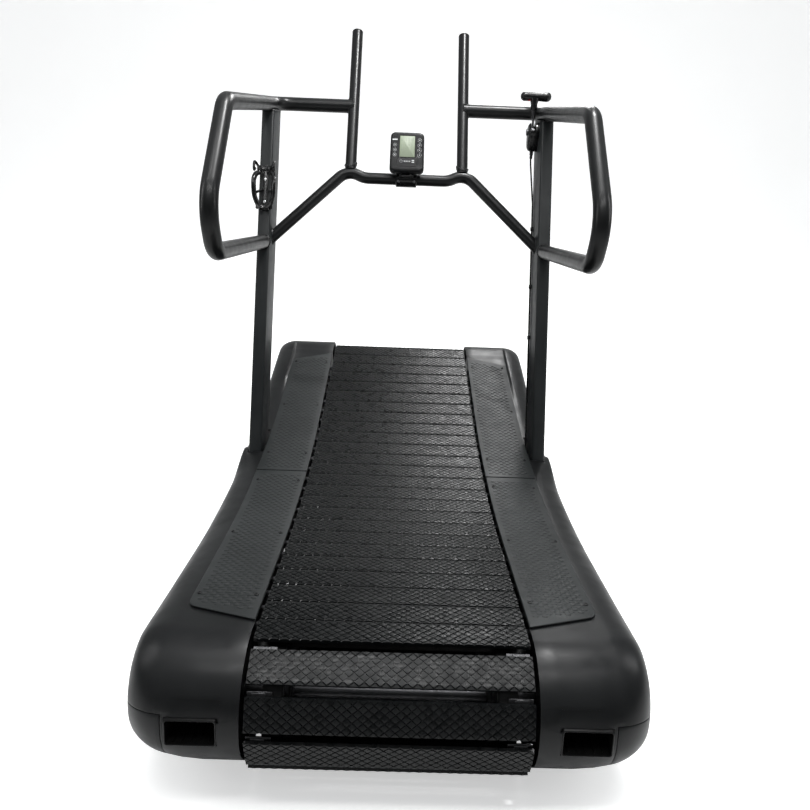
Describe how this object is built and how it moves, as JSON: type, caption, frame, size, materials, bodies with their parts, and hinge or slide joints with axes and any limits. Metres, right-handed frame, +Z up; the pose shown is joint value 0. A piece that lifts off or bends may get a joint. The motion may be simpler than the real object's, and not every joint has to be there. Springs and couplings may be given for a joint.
{
  "type": "curved manual treadmill",
  "caption": "Curved slat treadmill driven by the runner, with side covers, foot plates, leaning uprights, looped handrails, push bars, a console and a resistance lever.",
  "frame": {"origin": "centre of the footprint on the floor", "axes": "+X the runner's right, +Y the running direction, +Z up"},
  "size_m": [0.868, 1.7186, 1.4084],
  "materials": {
    "frame_paint": "satin black powder coat",
    "post_paint": "satin dark grey powder coat",
    "bar_paint": "satin black powder coat",
    "steel": "zinc plated",
    "bearing_steel": "ground",
    "disc_aluminium": "turned",
    "slat_metal": "gloss black",
    "tread_rubber": "diamond embossed",
    "belt_rubber": "matt",
    "cover_plastic": "fine grained satin",
    "step_plastic": "embossed satin",
    "pocket_plastic": "matt",
    "foot_rubber": "matt",
    "cap_plastic": "satin",
    "lever_plastic": "satin",
    "lever_metal": "zinc plated",
    "cable_sheath": "satin",
    "cage_plastic": "gloss",
    "console_plastic": "satin",
    "lcd": "grey green liquid crystal display",
    "key_rubber": "matt"
  },
  "bodies": {
    "base": {"base_rails": "frame_paint", "base_crossmembers": "frame_paint", "side_brackets": "frame_paint", "feet": "foot_rubber", "left_side_plate": "frame_paint", "right_side_plate": "frame_paint", "deck_ties": "frame_paint", "deck_fasteners": "steel", "track_bearings": "bearing_steel", "bearing_housings": "frame_paint", "shaft_bearings": "bearing_steel", "slat_treads": "tread_rubber", "slat_bars": "slat_metal", "drive_belts": "belt_rubber", "left_rear_cover": "cover_plastic", "right_rear_cover": "cover_plastic", "left_front_cover": "cover_plastic", "right_front_cover": "cover_plastic", "left_end_cap": "cover_plastic", "right_end_cap": "cover_plastic", "pocket_liners": "pocket_plastic", "left_rear_step": "step_plastic", "right_rear_step": "step_plastic", "left_front_step": "step_plastic", "right_front_step": "step_plastic", "step_screws": "steel", "left_upright": "post_paint", "right_upright": "post_paint", "upright_bolts": "steel", "left_handrail": "bar_paint", "right_handrail": "bar_paint", "left_push_horn": "bar_paint", "right_push_horn": "bar_paint", "horn_caps": "cap_plastic", "lower_crossbar": "bar_paint", "lever_housing": "lever_plastic", "pivot_pins": "steel", "resistance_cable": "cable_sheath", "cable_clips": "lever_plastic", "bottle_cage": "cage_plastic", "cage_bolts": "bearing_steel", "console_bracket": "lever_plastic"},
    "front_roller": {"front_shaft": "steel", "front_pulleys": "frame_paint", "brake_disc": "disc_aluminium"},
    "rear_roller": {"rear_shaft": "steel", "rear_pulleys": "frame_paint"},
    "brake_carrier": {"brake_arm": "steel", "brake_magnets": "bearing_steel"},
    "lever": {"resistance_lever": "lever_metal", "lever_grip": "lever_plastic"},
    "console": {"console_body": "console_plastic", "console_screen": "lcd"},
    "left_wheel": {"left_transport_wheel": "foot_rubber"},
    "right_wheel": {"right_transport_wheel": "foot_rubber"},
    "key_1": {"console_key_1": "key_rubber"},
    "key_2": {"console_key_2": "key_rubber"},
    "key_3": {"console_key_3": "key_rubber"},
    "key_4": {"console_key_4": "key_rubber"}
  },
  "joints": [
    {"name": "front_axle_spin", "type": "hinge", "parent": "base", "child": "front_roller", "pos_m": [0, 0.709, 0.275], "axis": [1, 0, 0], "continuous": true},
    {"name": "rear_axle_spin", "type": "hinge", "parent": "base", "child": "rear_roller", "pos_m": [0, -0.731, 0.163], "axis": [1, 0, 0], "continuous": true},
    {"name": "resistance_lever_swing", "type": "hinge", "parent": "base", "child": "lever", "pos_m": [0.363, 0.46261, 1.128], "axis": [1, 0, 0], "range_deg": [0, 22]},
    {"name": "brake_carrier_swing", "type": "hinge", "parent": "base", "child": "brake_carrier", "pos_m": [0.301, 0.6, 0.22], "axis": [1, 0, 0], "range_deg": [0, 20]},
    {"name": "console_tilt", "type": "hinge", "parent": "base", "child": "console", "pos_m": [0, 0.37941, 0.99507], "axis": [1, 0, 0], "range_deg": [-12, 15]},
    {"name": "left_wheel_spin", "type": "hinge", "parent": "base", "child": "left_wheel", "pos_m": [-0.3175, 0.662, 0.036], "axis": [1, 0, 0], "continuous": true},
    {"name": "right_wheel_spin", "type": "hinge", "parent": "base", "child": "right_wheel", "pos_m": [0.3175, 0.662, 0.036], "axis": [1, 0, 0], "continuous": true},
    {"name": "key_1_press", "type": "slide", "parent": "console", "child": "key_1", "axis": [0, 0.9135, -0.4067], "range_m": [0, 0.0015], "stiffness_N_per_m": 400},
    {"name": "key_2_press", "type": "slide", "parent": "console", "child": "key_2", "axis": [0, 0.9135, -0.4067], "range_m": [0, 0.0015], "stiffness_N_per_m": 400},
    {"name": "key_3_press", "type": "slide", "parent": "console", "child": "key_3", "axis": [0, 0.9135, -0.4067], "range_m": [0, 0.0015], "stiffness_N_per_m": 400},
    {"name": "key_4_press", "type": "slide", "parent": "console", "child": "key_4", "axis": [0, 0.9135, -0.4067], "range_m": [0, 0.0015], "stiffness_N_per_m": 400}
  ],
  "couplings": [
    {"joint": "rear_axle_spin", "follows": "front_axle_spin", "ratio": 1},
    {"joint": "brake_carrier_swing", "follows": "resistance_lever_swing", "ratio": 0.9}
  ]
}
